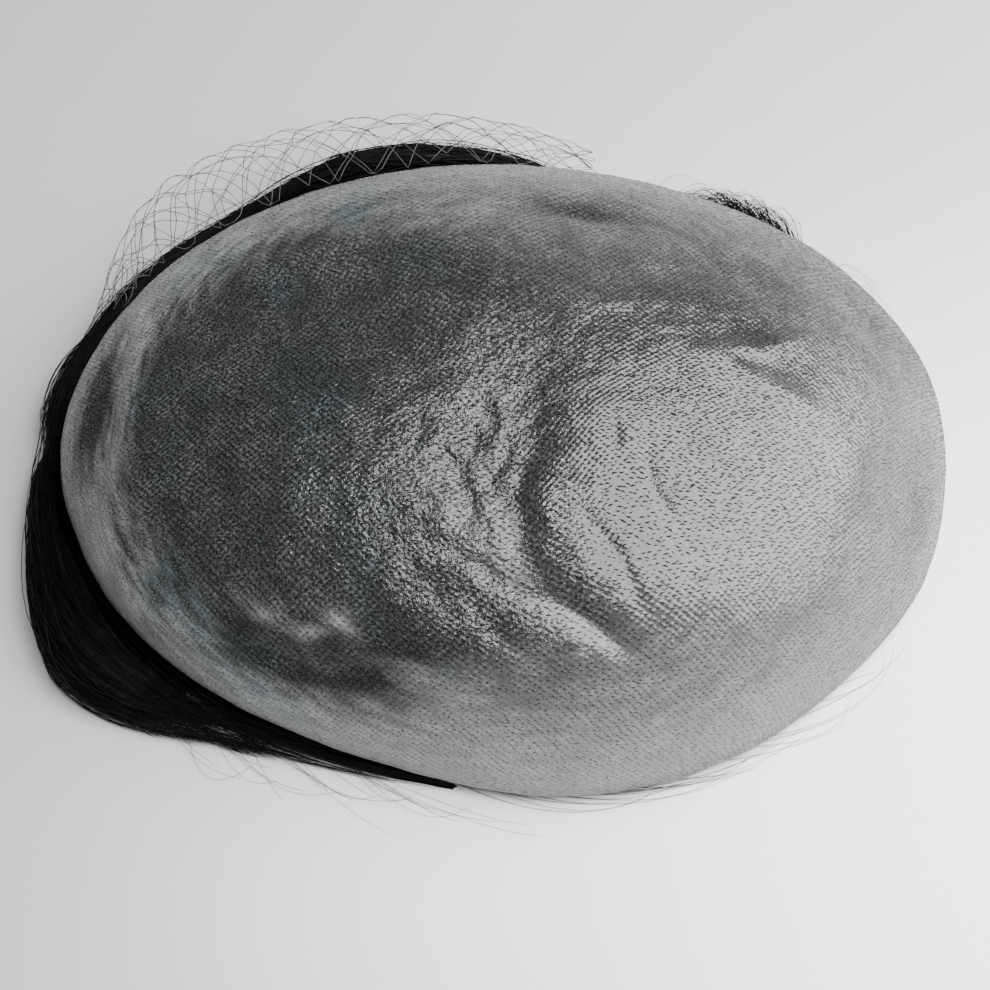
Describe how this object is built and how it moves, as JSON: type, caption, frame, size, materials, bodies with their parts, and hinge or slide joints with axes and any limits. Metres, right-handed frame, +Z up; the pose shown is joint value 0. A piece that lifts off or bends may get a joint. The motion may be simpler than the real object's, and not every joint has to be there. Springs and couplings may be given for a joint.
{
  "type": "toupee hairpiece",
  "caption": "Thin-skin hairpiece base turned inside out, dome up, with its hair packed under it and spilling at one corner, and a loose hair net at its side.",
  "frame": {"origin": "middle of the whole piece's foot, on the surface that it rests on", "axes": "+X along the base from the nape to the front hairline, +Y to the far side with the net, +Z up out of the crown"},
  "size_m": [0.2232, 0.1808, 0.0524],
  "materials": {
    "skin_film": "glossy clear polyurethane film over dark hair, with fine hair loops showing through",
    "hair": "natural black hair with a soft shine",
    "net_thread": "fine dark nylon thread"
  },
  "bodies": {
    "root": {"skin_base": "skin_film", "hair_bed": "hair", "hair_lobe": "hair", "hair_roll": "hair", "hair_net": "net_thread"}
  },
  "joints": []
}
